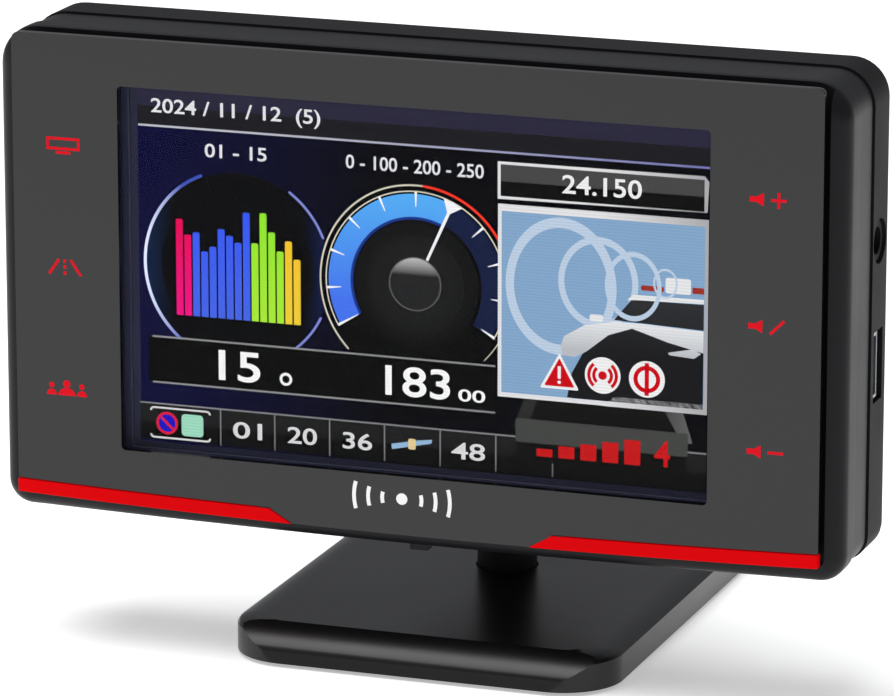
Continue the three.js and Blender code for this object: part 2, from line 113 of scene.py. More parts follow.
def take(piece):
    """Makes a piece the only selected and active object, in object mode."""
    clear_selection()
    piece.select_set(True)
    bpy.context.view_layer.objects.active = piece
    return piece


def settle(piece):
    """Puts a piece's place, turn and size into its mesh."""
    take(piece)
    bpy.ops.object.transform_apply(location=True, rotation=True, scale=True)
    return piece


def choose(piece, kind, test=lambda part: True):
    """Selects in edit mode the vertices, edges or faces of a piece that pass a test."""
    take(piece)
    bpy.ops.object.mode_set(mode="EDIT")
    bpy.ops.mesh.select_mode(type=kind)
    bpy.ops.mesh.select_all(action="DESELECT")
    mesh = bmesh.from_edit_mesh(piece.data)
    parts = {"VERT": mesh.verts, "EDGE": mesh.edges, "FACE": mesh.faces}[kind]
    for part in parts:
        if test(part):
            part.select_set(True)
    mesh.select_flush_mode()
    bmesh.update_edit_mesh(piece.data)


def sharp(edge):
    """Whether an edge is a corner between two faces."""
    return len(edge.link_faces) == 2 and edge.calc_face_angle() > radians(50)


def round_rim(piece, y, radius, segments):
    """Rounds the sharp edges of a piece that lie in the plane y."""
    choose(piece, "EDGE", lambda e: sharp(e) and all(abs(v.co.y - y) < EPS for v in e.verts))
    bpy.ops.mesh.bevel(offset=radius * MM, segments=segments, affect="EDGES", clamp_overlap=True)
    bpy.ops.object.mode_set(mode="OBJECT")


def face_out(piece):
    """Turns a closed piece's faces outwards."""
    choose(piece, "FACE")
    bpy.ops.mesh.normals_make_consistent(inside=False)
    bpy.ops.object.mode_set(mode="OBJECT")
    return piece


def slit(piece, places):
    """Cuts a piece's faces along upright lines at the given places, so that its edges can bow."""
    for x in places:
        choose(piece, "FACE")
        bpy.ops.mesh.bisect(plane_co=at(x, 0, 0), plane_no=(1, 0, 0))


def drag(piece, x, level, move):
    """Moves a piece's corners at one place across the head and one level."""
    choose(piece, "VERT", lambda v: abs(v.co.x - x * MM) < EPS and abs(v.co.z - level) < EPS)
    bpy.ops.transform.translate(value=move)


def block(x0, x1, front, rear, z0, z1):
    """A block on the head."""
    clear_selection()
    low, high = at(x0, front, z0), at(x1, rear, z1)
    bpy.ops.mesh.primitive_cube_add(size=1, location=(low + high) / 2)
    piece = bpy.context.object
    piece.scale = high - low
    return settle(piece)


def plate(half, top, bottom, front, rear, radius, low_radius=None, bow=0):
    """A plate with rounded corners whose lower edge sags by bow at its middle."""
    low_radius = low_radius or radius
    clear_selection()
    middle = at(0, front, (top - bottom) / 2)
    bpy.ops.mesh.primitive_plane_add(size=1, location=middle, rotation=(pi / 2, 0, 0))
    piece = bpy.context.object
    piece.scale = (2 * half * MM, (top + bottom) * MM, 1)
    settle(piece)
    if bow:
        clear_of_corners = half - max(radius, low_radius) - 0.5
        places = [clear_of_corners * (2 * i / BOW_STEPS - 1) for i in range(BOW_STEPS + 1)]
        slit(piece, places)
        for x in places:
            drop = bow * (1 - (x / (half - low_radius)) ** 2)
            drag(piece, x, at(0, 0, -bottom).z, (0, 0, -drop * MM))
    edge = half * MM - EPS
    corners = {"segments": CORNER_STEPS, "affect": "VERTICES", "clamp_overlap": False}
    for size, upper in ((radius, True), (low_radius, False)):
        choose(piece, "VERT", lambda v: abs(v.co.x) > edge and (v.co.z > middle.z) == upper)
        bpy.ops.mesh.bevel(offset=size * MM, **corners)
    choose(piece, "FACE")
    move = {"value": (0, (rear - front) * MM, 0)}
    bpy.ops.mesh.extrude_region_move(TRANSFORM_OT_translate=move)
    return face_out(piece)


def casing(inset, front, rear):
    """A plate in the casing's outline, drawn in by inset."""
    upper, lower = (max(corner - inset, LEAST_CORNER) for corner in CASE_CORNERS)
    top, bottom = CASE_TOP - inset, CASE_BOTTOM - inset
    return plate(CASE_HALF - inset, top, bottom, front, rear, upper, lower, CASE_BOW)


def opening(grow, front, rear):
    """A block that fills the display's opening, larger by grow."""
    half, top, bottom = (size + grow for size in OPENING)
    return plate(half, top, bottom, front, rear, radius=0.6)


def combine(piece, *others, operation="DIFFERENCE"):
    """Cuts other pieces from a piece, adds them to it, or keeps what they share."""
    for other in others:
        take(piece)
        modifier = piece.modifiers.new("combine", "BOOLEAN")
        modifier.operation = operation
        modifier.solver = "EXACT"
        modifier.object = other
        bpy.ops.object.modifier_apply(modifier=modifier.name)
        bpy.data.objects.remove(other)
    return piece


def soften(piece, width, segments=3, angle=40):
    """Rounds every corner of a piece a little."""
    take(piece)
    modifier = piece.modifiers.new("soften", "BEVEL")
    modifier.width = width * MM
    modifier.segments = segments
    modifier.limit_method = "ANGLE"
    modifier.angle_limit = radians(angle)
    modifier.harden_normals = False
    bpy.ops.object.modifier_apply(modifier=modifier.name)
    return piece


def smooth(piece, angle=38):
    """Shades curved faces smooth and lets flat ones stay flat."""
    take(piece)
    bpy.ops.object.shade_smooth_by_angle(angle=radians(angle))
    modifier = piece.modifiers.new("flats", "WEIGHTED_NORMAL")
    modifier.keep_sharp = True
    bpy.ops.object.modifier_apply(modifier=modifier.name)
    return piece


def copy_of(node):
    """A merged copy of a frame node, with its flat faces whole."""
    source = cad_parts[node]
    piece = bpy.data.objects.new(node + "_copy", source.data.copy())
    bpy.context.scene.collection.objects.link(piece)
    piece.data.materials.clear()
    choose(piece, "VERT")
    bpy.ops.mesh.remove_doubles(threshold=5 * EPS)
    bpy.ops.mesh.dissolve_limited(angle_limit=radians(0.6))
    bpy.ops.object.mode_set(mode="OBJECT")
    return piece


def join(pieces):
    """Joins pieces into the first of them."""
    clear_selection()
    for piece in pieces:
        piece.select_set(True)
    bpy.context.view_layer.objects.active = pieces[0]
    bpy.ops.object.join()
    return pieces[0]


def finish_piece(piece, name, body, slot, material, *nodes):
    """Names a piece, gives it its material and body, and lets it stand for frame nodes."""
    if not piece.data.polygons:
        raise RuntimeError(f"{name} has no faces")
    piece.name = name
    piece.data.name = name
    piece.data.materials.clear()
    piece.data.materials.append(material)
    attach(piece, body)
    if nodes:
        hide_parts(*nodes)
    return piece


# ---- flat shapes of the display and the printed marks ----


def face_driver(piece):
    """Turns a flat piece's faces towards the driver."""
    choose(piece, "FACE", lambda f: f.normal.y > 0)
    bpy.ops.mesh.flip_normals()
    bpy.ops.object.mode_set(mode="OBJECT")
    return piece


def around(centre, radius, turn):
    """The place at a distance from a centre, turn degrees anticlockwise from its right."""
    return centre[0] + radius * cos(radians(turn)), centre[1] + radius * sin(radians(turn))


def sheet(points, depth, rounding=0):
    """A flat shape, from its corners in order."""
    clear_selection()
    bpy.ops.mesh.primitive_circle_add(vertices=len(points), fill_type="NGON")
    piece = settle(bpy.context.object)
    for vertex, (x, z) in zip(piece.data.vertices, points):
        vertex.co = at(x, depth, z)
    if rounding:
        choose(piece, "VERT")
        bpy.ops.mesh.bevel(offset=rounding * MM, segments=5, affect="VERTICES")
    return face_driver(piece)


def strip(x0, x1, z0, z1, depth, rounding=0):
    """A flat upright rectangle."""
    return sheet([(x0, z0), (x1, z0), (x1, z1), (x0, z1)], depth, rounding)


def line(start, end, width, depth, end_width=None):
    """A straight flat line between two places, which may taper."""
    start, end = Vector(start), Vector(end)
    direction = (end - start).normalized()
    across = Vector((-direction.y, direction.x))
    near, far = across * width / 2, across * (width if end_width is None else end_width) / 2
    return sheet([start - near, end - far, end + far, start + near], depth)


def band(centre, inner, outer, start, end, depth, stretch=1):
    """Part of a flat ring, between two angles in degrees anticlockwise from the right."""
    clear_selection()
    bpy.ops.mesh.primitive_plane_add(size=1)
    piece = settle(bpy.context.object)
    choose(piece, "VERT", lambda v: v.index > 1)
    bpy.ops.mesh.delete(type="VERT")
    bpy.ops.object.mode_set(mode="OBJECT")
    for vertex, radius in zip(piece.data.vertices, (inner, outer)):
        x, z = around(centre, radius, start)
        vertex.co = at(x, depth, z)
    choose(piece, "VERT")
    steps = max(6, round(abs(end - start) / 4))
    middle = at(centre[0], depth, centre[1])
    bpy.ops.mesh.spin(steps=steps, angle=radians(end - start), center=middle, axis=(0, 1, 0))
    choose(piece, "VERT")
    bpy.ops.mesh.remove_doubles(threshold=2 * EPS)
    if stretch != 1:
        bpy.ops.transform.resize(value=(1, 1, stretch), center_override=middle)
    return face_driver(piece)


def disc(centre, radius, depth):
    """A flat round shape."""
    return sheet([around(centre, radius, 7.5 * i) for i in range(48)], depth)


def digits(text, x0, x1, z0, z1, depth):
    """Numbers fitted into a rectangle."""
    clear_selection()
    bpy.ops.object.text_add(rotation=(pi / 2, 0, 0))
    piece = bpy.context.object
    piece.data.body = text
    piece.data.offset = 0.012  # makes the strokes bolder
    piece.data.resolution_u = 5
    bpy.ops.object.convert(target="MESH")
    piece = settle(bpy.context.object)
    xs = [v.co.x for v in piece.data.vertices]
    zs = [v.co.z for v in piece.data.vertices]
    wide = (x1 - x0) * MM / (max(xs) - min(xs))
    tall = (z1 - z0) * MM / (max(zs) - min(zs))
    corner = at(x0, depth, z0)
    for vertex in piece.data.vertices:
        x, _, z = vertex.co
        vertex.co = (corner.x + (x - min(xs)) * wide, corner.y, corner.z + (z - min(zs)) * tall)
    choose(piece, "VERT")
    bpy.ops.mesh.remove_doubles(threshold=EPS)
    return face_driver(piece)


def show(pieces, name, material, slot="screen"):
    """Joins flat shapes of one colour into a thin film on the head."""
    piece = take(join(pieces))
    modifier = piece.modifiers.new("film", "SOLIDIFY")
    modifier.thickness = 0.02 * MM
    modifier.offset = -1
    bpy.ops.object.modifier_apply(modifier=modifier.name)
    return finish_piece(piece, name, "head", slot, material)


# ---- materials ----


def add_node(tree, kind, inputs=None, **settings):
    """Adds a node with its settings; an input may be a value or another node's output."""
    made = tree.nodes.new(kind)
    for key, value in settings.items():
        setattr(made, key, value)
    for socket, value in (inputs or {}).items():
        if isinstance(value, bpy.types.NodeSocket):
            tree.links.new(value, made.inputs[socket])
        else:
            made.inputs[socket].default_value = value
    return made


def new_material(name, colour, roughness, **values):
    """A material with its shader's own values set; returns it with its tree and shader."""
    material = bpy.data.materials.new(name)
    material.use_nodes = True
    tree = material.node_tree
    shader = tree.nodes["Principled BSDF"]
    shader.inputs["Base Color"].default_value = (*colour, 1)
    shader.inputs["Roughness"].default_value = roughness
    for socket, value in values.items():
        shader.inputs[socket.replace("_", " ")].default_value = value
    return material, tree, shader


def vary(tree, shader, colour, other, patch, roughness=None):
    """Lets the colour, and the roughness if given, wander in patches of about so many millimetres."""
    place = add_node(tree, "ShaderNodeTexCoord")
    inputs = {"Vector": place.outputs["Object"], "Scale": 1 / (patch * MM), "Detail": 3}
    noise = add_node(tree, "ShaderNodeTexNoise", inputs)
    mix = {"Factor": noise.outputs["Fac"], "A": (*colour, 1), "B": (*other, 1)}
    blend = add_node(tree, "ShaderNodeMix", mix, data_type="RGBA")
    tree.links.new(blend.outputs["Result"], shader.inputs["Base Color"])
    if roughness:
        span = {"Value": noise.outputs["Fac"], "To Min": roughness[0], "To Max": roughness[1]}
        ranged = add_node(tree, "ShaderNodeMapRange", span)
        tree.links.new(ranged.outputs["Result"], shader.inputs["Roughness"])
    return place


def moulded_abs(name, code, other, roughness, grain, depth, gloss=0.15):
    """Injection-moulded ABS with spark-eroded grain: a fine even stipple that breaks highlights up.

    Real grain is about 0.15 mm; it is drawn at the given coarser size so that it shows.
    """
    material, tree, shader = new_material(name, linear(code), roughness[0], Specular_IOR_Level=gloss)
    place = vary(tree, shader, linear(code), linear(other), 11.1, roughness)
    stipple = {"Vector": place.outputs["Object"], "Scale": 1 / (grain * MM), "Detail": 2}
    pattern = add_node(tree, "ShaderNodeTexNoise", stipple)
    relief = {"Height": pattern.outputs["Fac"], "Strength": 0.35, "Distance": depth * MM}
    bump = add_node(tree, "ShaderNodeBump", relief)
    tree.links.new(bump.outputs["Normal"], shader.inputs["Normal"])
    return material


def smoked_acrylic(colour):
    """Hard-coated smoked acrylic: a deep glossy sheet whose faint 24 mm waves bend reflections."""
    material, tree, shader = new_material("smoked_acrylic", colour, 0.2, IOR=1.49)
    place = vary(tree, shader, colour, linear("#0c0c0f"), 71.4, (0.16, 0.24))
    wave = {"Vector": place.outputs["Object"], "Scale": 1 / (24 * MM), "Detail": 1}
    pattern = add_node(tree, "ShaderNodeTexNoise", wave)
    relief = {"Height": pattern.outputs["Fac"], "Strength": 0.05, "Distance": 0.3 * MM}
    bump = add_node(tree, "ShaderNodeBump", relief)
    tree.links.new(bump.outputs["Normal"], shader.inputs["Normal"])
    return material


def clear_acrylic():
    """Clear polished acrylic: nearly invisible, with a light gloss and the faintest smudges."""
    colour = linear("#030303")
    material, tree, shader = new_material("clear_acrylic", colour, 0.04, IOR=1.49, Alpha=0.06)
    vary(tree, shader, colour, linear("#0a0a0a"), 16.7, (0.03, 0.07))
    return material


def painted_glow(name, colour, roughness, gloss, strength):
    """A material that also gives out a little of its own colour: a painted glow that stands in for light
    coming back through it.
    """
    glow = {"Emission_Color": (*colour, 1), "Emission_Strength": strength}
    return new_material(name, colour, roughness, Specular_IOR_Level=gloss, **glow)


def red_acrylic(colour):
    """Red-tinted acrylic over a white back, with a painted glow that stands in for the light its white back
    sends through it; it keeps a polished skin.
    """
    material, tree, shader = painted_glow("red_acrylic", colour, 0.3, 0.03, 0.2)
    vary(tree, shader, colour, [c * 0.8 for c in colour], 25, (0.25, 0.35))
    return material


def printed_ink(name, colour):
    """Pad-printed ink: flat colour with a slightly uneven film, and a faint painted glow that lifts it."""
    material, tree, shader = painted_glow(name, colour, 0.5, 0.1, 0.15)
    vary(tree, shader, colour, [c * 0.85 for c in colour], 1.11, (0.4, 0.5))
    return material


def lit(name, code, ramp=None, strength=1.0):
    """A backlit part of the picture: an even glow crossed by the display's rows of dots.

    Real rows are about 0.1 mm apart; they are drawn at 0.4 mm so that they show. A ramp gives another
    colour, an axis, and the two places along it, in millimetres, between which the glow turns to it.
    """
    dark = linear("#030303")
    glow = {"Specular_IOR_Level": 0.0, "Emission_Strength": strength}
    material, tree, shader = new_material(name, dark, 0.5, **glow)
    place = add_node(tree, "ShaderNodeTexCoord")
    lines = {"Vector": place.outputs["Object"], "Scale": WAVE / (0.4 * MM)}
    rows = add_node(tree, "ShaderNodeTexWave", lines, bands_direction="Z")
    shade = add_node(tree, "ShaderNodeValToRGB", {"Fac": rows.outputs["Fac"]})
    between, row = shade.color_ramp.elements
    between.color = (*(c * 0.88 for c in linear(code)), 1)
    row.color = (*linear(code), 1)
    colour = shade.outputs["Color"]
    if ramp:
        other, axis, start, end = ramp
        origin = CENTRE_Z if axis == "Z" else 0
        split = add_node(tree, "ShaderNodeSeparateXYZ", {"Vector": place.outputs["Object"]})
        span = {"From Min": origin + start * MM, "From Max": origin + end * MM}
        ranged = add_node(tree, "ShaderNodeMapRange", {"Value": split.outputs[axis], **span})
        mix = {"Factor": ranged.outputs["Result"], "A": colour, "B": (*linear(other), 1)}
        colour = add_node(tree, "ShaderNodeMix", mix, data_type="RGBA").outputs["Result"]
    tree.links.new(colour, shader.inputs["Emission Color"])
    return material


def light(pieces, name, code, ramp=None, strength=1.0):
    """Shows flat shapes as one glowing layer of the picture."""
    return show(pieces, name, lit(name + "_light", code, ramp, strength))


def display_glass():
    """Coated display glass with its dark border ink: smooth, bluish and faintly uneven."""
    colour = linear("#34375a")
    material, tree, shader = new_material("display_glass", colour, 0.25, IOR=1.52)
    vary(tree, shader, colour, linear("#2e3152"), 33.3, (0.2, 0.3))
    return material


def plated_steel(name, code, roughness, grain):
    """Tinned or zinc-plated steel: bright metal with the fine drag lines of its rolling."""
    material, tree, shader = new_material(name, linear(code), roughness, Metallic=1.0)
    rough = (roughness, roughness + 0.12)
    place = vary(tree, shader, linear(code), linear("#8a8d92"), 8.33, rough)
    fine, along = 1 / (grain * MM), 1 / (25 * MM)
    stretch = {"Vector": place.outputs["Object"], "Scale": (fine, along, fine)}
    lines = add_node(tree, "ShaderNodeMapping", stretch, vector_type="POINT")
    noise = add_node(tree, "ShaderNodeTexNoise", {"Vector": lines.outputs["Vector"], "Scale": 1})
    relief = {"Height": noise.outputs["Fac"], "Strength": 0.15, "Distance": 0.02 * MM}
    bump = add_node(tree, "ShaderNodeBump", relief)
    tree.links.new(bump.outputs["Normal"], shader.inputs["Normal"])
    return material


def circuit_board():
    """Green solder mask on glass-epoxy: glossy green with raised copper tracks under it."""
    mask, other, copper = ((*linear(code), 1) for code in ("#1c4a30", "#215638", "#2f7048"))
    material, tree, shader = new_material("solder_mask", mask[:3], 0.35)
    place = add_node(tree, "ShaderNodeTexCoord")
    turned = {"Vector": place.outputs["Object"], "Rotation": (pi / 2, 0, 0)}
    flat = add_node(tree, "ShaderNodeMapping", turned)
    size = {"Vector": flat.outputs["Vector"], "Scale": 1 / (6 * MM), "Mortar Size": 0.04}
    tracks = {**size, "Color1": mask, "Color2": other, "Mortar": copper}
    bricks = add_node(tree, "ShaderNodeTexBrick", tracks)
    tree.links.new(bricks.outputs["Color"], shader.inputs["Base Color"])
    relief = {"Height": bricks.outputs["Fac"], "Strength": 0.3, "Distance": 0.04 * MM}
    bump = add_node(tree, "ShaderNodeBump", relief)
    tree.links.new(bump.outputs["Normal"], shader.inputs["Normal"])
    return material


def fired_ceramic():
    """Sintered antenna ceramic: chalky buff with tiny dark specks."""
    colour = linear("#c9c2ae")
    material, tree, shader = new_material("fired_ceramic", colour, 0.55)
    vary(tree, shader, colour, linear("#aaa38f"), 0.667, (0.5, 0.6))
    return material


def soft_gel():
    """Black acrylic-foam tape: dull, soft and slightly porous, with pores of about 0.4 mm."""
    colour = linear("#1a1a1b")
    material, tree, shader = new_material("adhesive_gel", colour, 0.85)
    place = vary(tree, shader, colour, linear("#242425"), 3.33, (0.8, 0.95))
    pores = {"Vector": place.outputs["Object"], "Scale": 1 / (0.4 * MM)}
    pattern = add_node(tree, "ShaderNodeTexVoronoi", pores)
    relief = {"Height": pattern.outputs["Distance"], "Strength": 0.4, "Distance": 0.05 * MM}
    bump = add_node(tree, "ShaderNodeBump", relief)
    tree.links.new(bump.outputs["Normal"], shader.inputs["Normal"])
    return material


def woven_cloth():
    """Acoustic cloth behind the speaker slots: a plain black weave with threads 0.5 mm apart."""
    colour = linear("#141415")
    material, tree, shader = new_material("speaker_cloth", colour, 0.9)
    place = vary(tree, shader, colour, linear("#222224"), 1.43)
    weave = {"Vector": place.outputs["Object"], "Scale": WAVE / (0.5 * MM)}
    threads = add_node(tree, "ShaderNodeTexWave", weave, bands_direction="X")
    relief = {"Height": threads.outputs["Fac"], "Strength": 0.5, "Distance": 0.08 * MM}
    bump = add_node(tree, "ShaderNodeBump", relief)
    tree.links.new(bump.outputs["Normal"], shader.inputs["Normal"])
    return material


def floor_paper():
    """Matte studio paper: pale, with hardly visible fibres."""
    glow = {"Emission_Color": (*linear("#ffffff"), 1), "Emission_Strength": 0.42}
    material, tree, shader = new_material("studio_paper", linear("#f2f2f2"), 0.9, **glow)
    vary(tree, shader, linear("#f4f4f4"), linear("#efefef"), 125)
    return material


FINISHES = {
    "satin_abs": (moulded_abs, "satin_black_abs", "#131315", "#18181b", (0.36, 0.46), 0.5, 0.02),
    "foot_abs": (moulded_abs, "polished_black_abs", "#0c0c0e", "#101012", (0.26, 0.34), 0.5, 0.012, 0.4),
    "matte_abs": (moulded_abs, "matte_black_abs", "#101012", "#161618", (0.55, 0.68), 0.7, 0.05),
    "nylon": (moulded_abs, "natural_nylon", "#d8d6cc", "#cfcdc2", (0.45, 0.55), 0.5, 0.02),
    "diffuser": (moulded_abs, "white_diffuser", "#e6e8ea", "#dcdee0", (0.4, 0.5), 0.6, 0.02),
    "tinned": (plated_steel, "tinned_steel", "#b6babf", 0.28, 0.3),
    "steel": (plated_steel, "zinc_plated_steel", "#9a9da3", 0.3, 0.25),
    "dark_steel": (plated_steel, "blackened_steel", "#3a3c40", 0.35, 0.25),
    "white_ink": (printed_ink, "white_ink", linear("#f0f0f0")),
    "window": (clear_acrylic,),
    "glass": (display_glass,),
    "board": (circuit_board,),
    "ceramic": (fired_ceramic,),
    "gel": (soft_gel,),
    "cloth": (woven_cloth,),
    "paper": (floor_paper,),
}
made_finishes = {}


def finish_of(name):
    """One of the finishes, made when the first piece asks for it."""
    if name not in made_finishes:
        head = bpy.context.scene.detector_head
        chosen = {
            "panel": (smoked_acrylic, head.panel_colour),
            "red": (red_acrylic, head.strip_colour),
            "red_ink": (printed_ink, "red_ink", head.mark_colour),
        }
        maker, *details = FINISHES.get(name) or chosen[name]
        made_finishes[name] = maker(*details)
    return made_finishes[name]


# ---- the head ----


def red_strip(side, grow, front, rear):
    """The red strip of one side (-1 left, 1 right), which follows the panel's bowed lower edge.

    A grown strip cuts its place in the panel, and reaches well past the panel's lower edge.
    """
    head = bpy.context.scene.detector_head
    low, high = -6 * grow, head.strip_height / MM + grow
    tip, outer = head.strip_tip / MM - 2 * grow, PANEL_HALF + grow
    slant = head.strip_slant * (high - low) * MM / head.strip_height
    low_start, high_start = -40, -20  # levels of the block's edges before they are bowed
    steps = BOW_STEPS // 2
    piece = block(tip, outer, front, rear, low_start, high_start)
    inner = [tip + (outer - tip) * i / steps for i in range(1, steps)]
    slit(piece, inner)
    for x in [tip, *inner, outer]:
        edge = -PANEL_TOP - PANEL_BOW * (1 - (x / PANEL_HALF) ** 2)
        lean = slant if x == tip else 0
        for start, end, shift in ((low_start, edge + low, 0), (high_start, edge + high, lean)):
            drag(piece, x, at(0, 0, start).z, (shift, 0, (end - start) * MM))
    bpy.ops.object.mode_set(mode="OBJECT")
    if side < 0:
        piece.scale = (-1, 1, 1)
        face_out(settle(piece))
    return piece


class DETECTOR_OT_front_panel(bpy.types.Operator):
    """Smoked front panel with its display opening and the cuts for the red strips"""

    bl_idname = "detector.front_panel"
    bl_label = "Front Panel"

    def execute(self, context):
        panel = plate(PANEL_HALF, PANEL_TOP, PANEL_TOP, 0, PANEL_BACK, 1, 1, PANEL_BOW)
        cuts = [red_strip(side, 0.15, -1, 3) for side in (-1, 1)]
        combine(panel, opening(0, -1, 3), *cuts)
        smooth(soften(panel, context.scene.detector_head.panel_edge / MM, 3, 50))
        finish_piece(panel, "smoked_panel", "head", "smoked_panel", finish_of("panel"), "front_panel")
        return {"FINISHED"}


class DETECTOR_OT_red_strips(bpy.types.Operator):
    """Two red acrylic strips along the panel's lower edge"""

    bl_idname = "detector.red_strips"
    bl_label = "Red Strips"

    def execute(self, context):
        for side, word in ((-1, "left"), (1, "right")):
            node = f"accent_strip_{word}"
            piece = smooth(soften(red_strip(side, 0, -0.25, PANEL_BACK), 0.22, 3, 60))
            finish_piece(piece, f"red_strip_{word}", "head", "red_accent", finish_of("red"), node)
        return {"FINISHED"}


class DETECTOR_OT_window(bpy.types.Operator):
    """Clear window over the display and the dark mask round the picture"""

    bl_idname = "detector.window"
    bl_label = "Window and Mask"

    def execute(self, context):
        window = smooth(soften(opening(-0.15, 0.15, PANEL_BACK), 0.12, 2, 50))
        finish_piece(window, "window_clear", "head", "clear_window", finish_of("window"), "display_window")
        mask = block(-41.7, 41.7, 2.96, 3.06, -26.2, 26.6)
        combine(mask, block(-39, 39, 2, 4, -23.8, 24.2))
        smooth(soften(mask, 0.02, 1))
        finish_piece(mask, "display_mask", "head", "screen", finish_of("glass"))
        return {"FINISHED"}


class DETECTOR_OT_bezel(bpy.types.Operator):
    """Front shell of the casing with its broad rounding and the groove round the panel"""

    bl_idname = "detector.bezel"
    bl_label = "Bezel"

    def execute(self, context):
        head = context.scene.detector_head
        gap, ledge, wall = head.panel_gap / MM, 1.3, 1.8
        shell = casing(0, BEZEL_FRONT, BEZEL_BACK)
        round_rim(shell, at(0, BEZEL_FRONT, 0).y, head.bezel_round / MM, CORNER_STEPS)
        round_rim(shell, at(0, BEZEL_BACK, 0).y, 0.25, 3)
        half, top = PANEL_HALF + gap, PANEL_TOP + gap
        groove = plate(half, top, top, 0, 3.2, ledge, ledge, PANEL_BOW)
        combine(groove, plate(half - ledge, top - ledge, top - ledge, 1.2, 5, 1, 1, PANEL_BOW))
        combine(shell, casing(wall, 4, 9), opening(0.6, -1, 12), groove)
        catch = soften(block(-1.3, 1.3, 3.4, 5.2, -34.1, -32.6), 0.25, 3)
        combine(shell, catch, operation="UNION")
        smooth(shell)
        material = finish_of("satin_abs")
        finish_piece(shell, "bezel_shell", "head", "satin_black_abs", material, "front_bezel")
        return {"FINISHED"}


class DETECTOR_OT_middle_band(bpy.types.Operator):
    """Middle band of the casing"""

    bl_idname = "detector.middle_band"
    bl_label = "Middle Band"

    def execute(self, context):
        ring = casing(0.25, BAND_FRONT, BAND_BACK)
        for depth in (BAND_FRONT, BAND_BACK):
            round_rim(ring, at(0, depth, 0).y, 0.3, 3)
        combine(ring, casing(3, 5, 15))
        smooth(ring)
        finish_piece(ring, "middle_band", "head", "satin_black_abs", finish_of("satin_abs"), "mid_frame")
        return {"FINISHED"}


class DETECTOR_OT_rear_cover(bpy.types.Operator):
    """Rear cover with its hump, slots, rail and inlets, and the cloth behind the speaker slots"""

    bl_idname = "detector.rear_cover"
    bl_label = "Rear Cover"

    def execute(self, context):
        cover = smooth(soften(copy_of("rear_cover"), 0.15, 2, 55))
        finish_piece(cover, "rear_shell", "head", "matte_black_abs", finish_of("matte_abs"), "rear_cover")
        cloth = soften(block(18, 36, 24.95, 25.15, -5, 15), 0.04, 1)
        finish_piece(cloth, "speaker_cloth", "head", "matte_black_abs", finish_of("cloth"))
        return {"FINISHED"}


class DETECTOR_OT_case_screws(bpy.types.Operator):
    """Four cross-slotted screws in the rear cover"""

    bl_idname = "detector.case_screws"
    bl_label = "Case Screws"

    def execute(self, context):
        for number in range(1, 5):
            node = f"case_screw_{number}"
            screw = smooth(soften(copy_of(node), 0.12, 2, 50))
            finish_piece(screw, f"cover_screw_{number}", "head", "steel", finish_of("dark_steel"), node)
        return {"FINISHED"}


# ---- printed marks ----


def speaker_icon(x, z):
    """A small loudspeaker outline."""
    box = strip(x - 2.4, x - 1.5, z - 0.35, z + 0.35, INK)
    horn = [(x - 1.5, z - 0.35), (x - 0.6, z - 0.85), (x - 0.6, z + 0.85), (x - 1.5, z + 0.35)]
    return [box, sheet(horn, INK)]


def upright(x, low, high):
    """An upright stroke of the pen."""
    return strip(x - PEN / 2, x + PEN / 2, low, high, INK)


def level(x0, x1, z):
    """A level stroke of the pen."""
    return strip(x0, x1, z - PEN / 2, z + PEN / 2, INK)


def person(x, z, head, head_level, shoulders, stretch):
    """A head over a pair of shoulders."""
    body = band((x, z - 1), 0.0001, shoulders, 0, 180, INK, stretch)
    return [disc((x, z + head_level), head, INK), body]


class DETECTOR_OT_key_marks(bpy.types.Operator):
    """Red pictograms of the six touch keys and the plain white emblem under the display"""

    bl_idname = "detector.key_marks"
    bl_label = "Key Marks"

    def execute(self, context):
        show(self.left_keys() + self.right_keys(), "key_pictograms", finish_of("red_ink"), "red_accent")
        centre = (-1, -26.5)
        waves = [disc(centre, 0.75, INK)]
        for reach in (2.4, 4.3, 6.2):
            for turn in (0, 180):
                waves.append(band(centre, reach, reach + 0.5, turn - 16, turn + 16, INK))
        show(waves, "plain_emblem", finish_of("white_ink"))
        return {"FINISHED"}

    def left_keys(self):
        """A display, a road and three people."""
        x = -KEY_COLUMN
        display, road, people = KEY_ROWS
        marks = [level(x - 2.3, x + 2.3, display + z) for z in (-0.5, 0.8)]
        marks += [upright(x + side, display - 0.3, display + 0.6) for side in (-2.12, 2.12)]
        marks.append(level(x - 1, x + 1, display - 1.2 + PEN / 2))
        for side in (-1, 1):
            marks.append(line((x + side * 2.2, road - 1), (x + side * 0.8, road + 1), PEN, INK))
        marks += [upright(x, road + low, road + low + 0.45) for low in (-1.0, -0.2, 0.55)]
        marks += person(x, people, 0.5, 0.55, 1.2, 0.85)
        for side in (-2.1, 2.1):
            marks += person(x + side, people, 0.36, 0.3, 0.7, 1.1)
        return marks

    def right_keys(self):
        """Louder, mute and softer."""
        x = KEY_COLUMN
        louder, mute, softer = KEY_ROWS
        marks = [part for row in KEY_ROWS for part in speaker_icon(x, row)]
        marks += [level(x + 0.3, x + 2.3, row) for row in (louder, softer)]
        marks.append(upright(x + 1.3, louder - 1, louder - PEN / 2))
        marks.append(upright(x + 1.3, louder + PEN / 2, louder + 1))
        marks.append(line((x + 0.4, mute - 0.9), (x + 2.2, mute + 0.9), PEN, INK))
        return marks


# ---- the picture on the display ----


def layer(number):
    """Depth of a layer of the picture, in front of the glass."""
    return SCREEN - LAYER * number


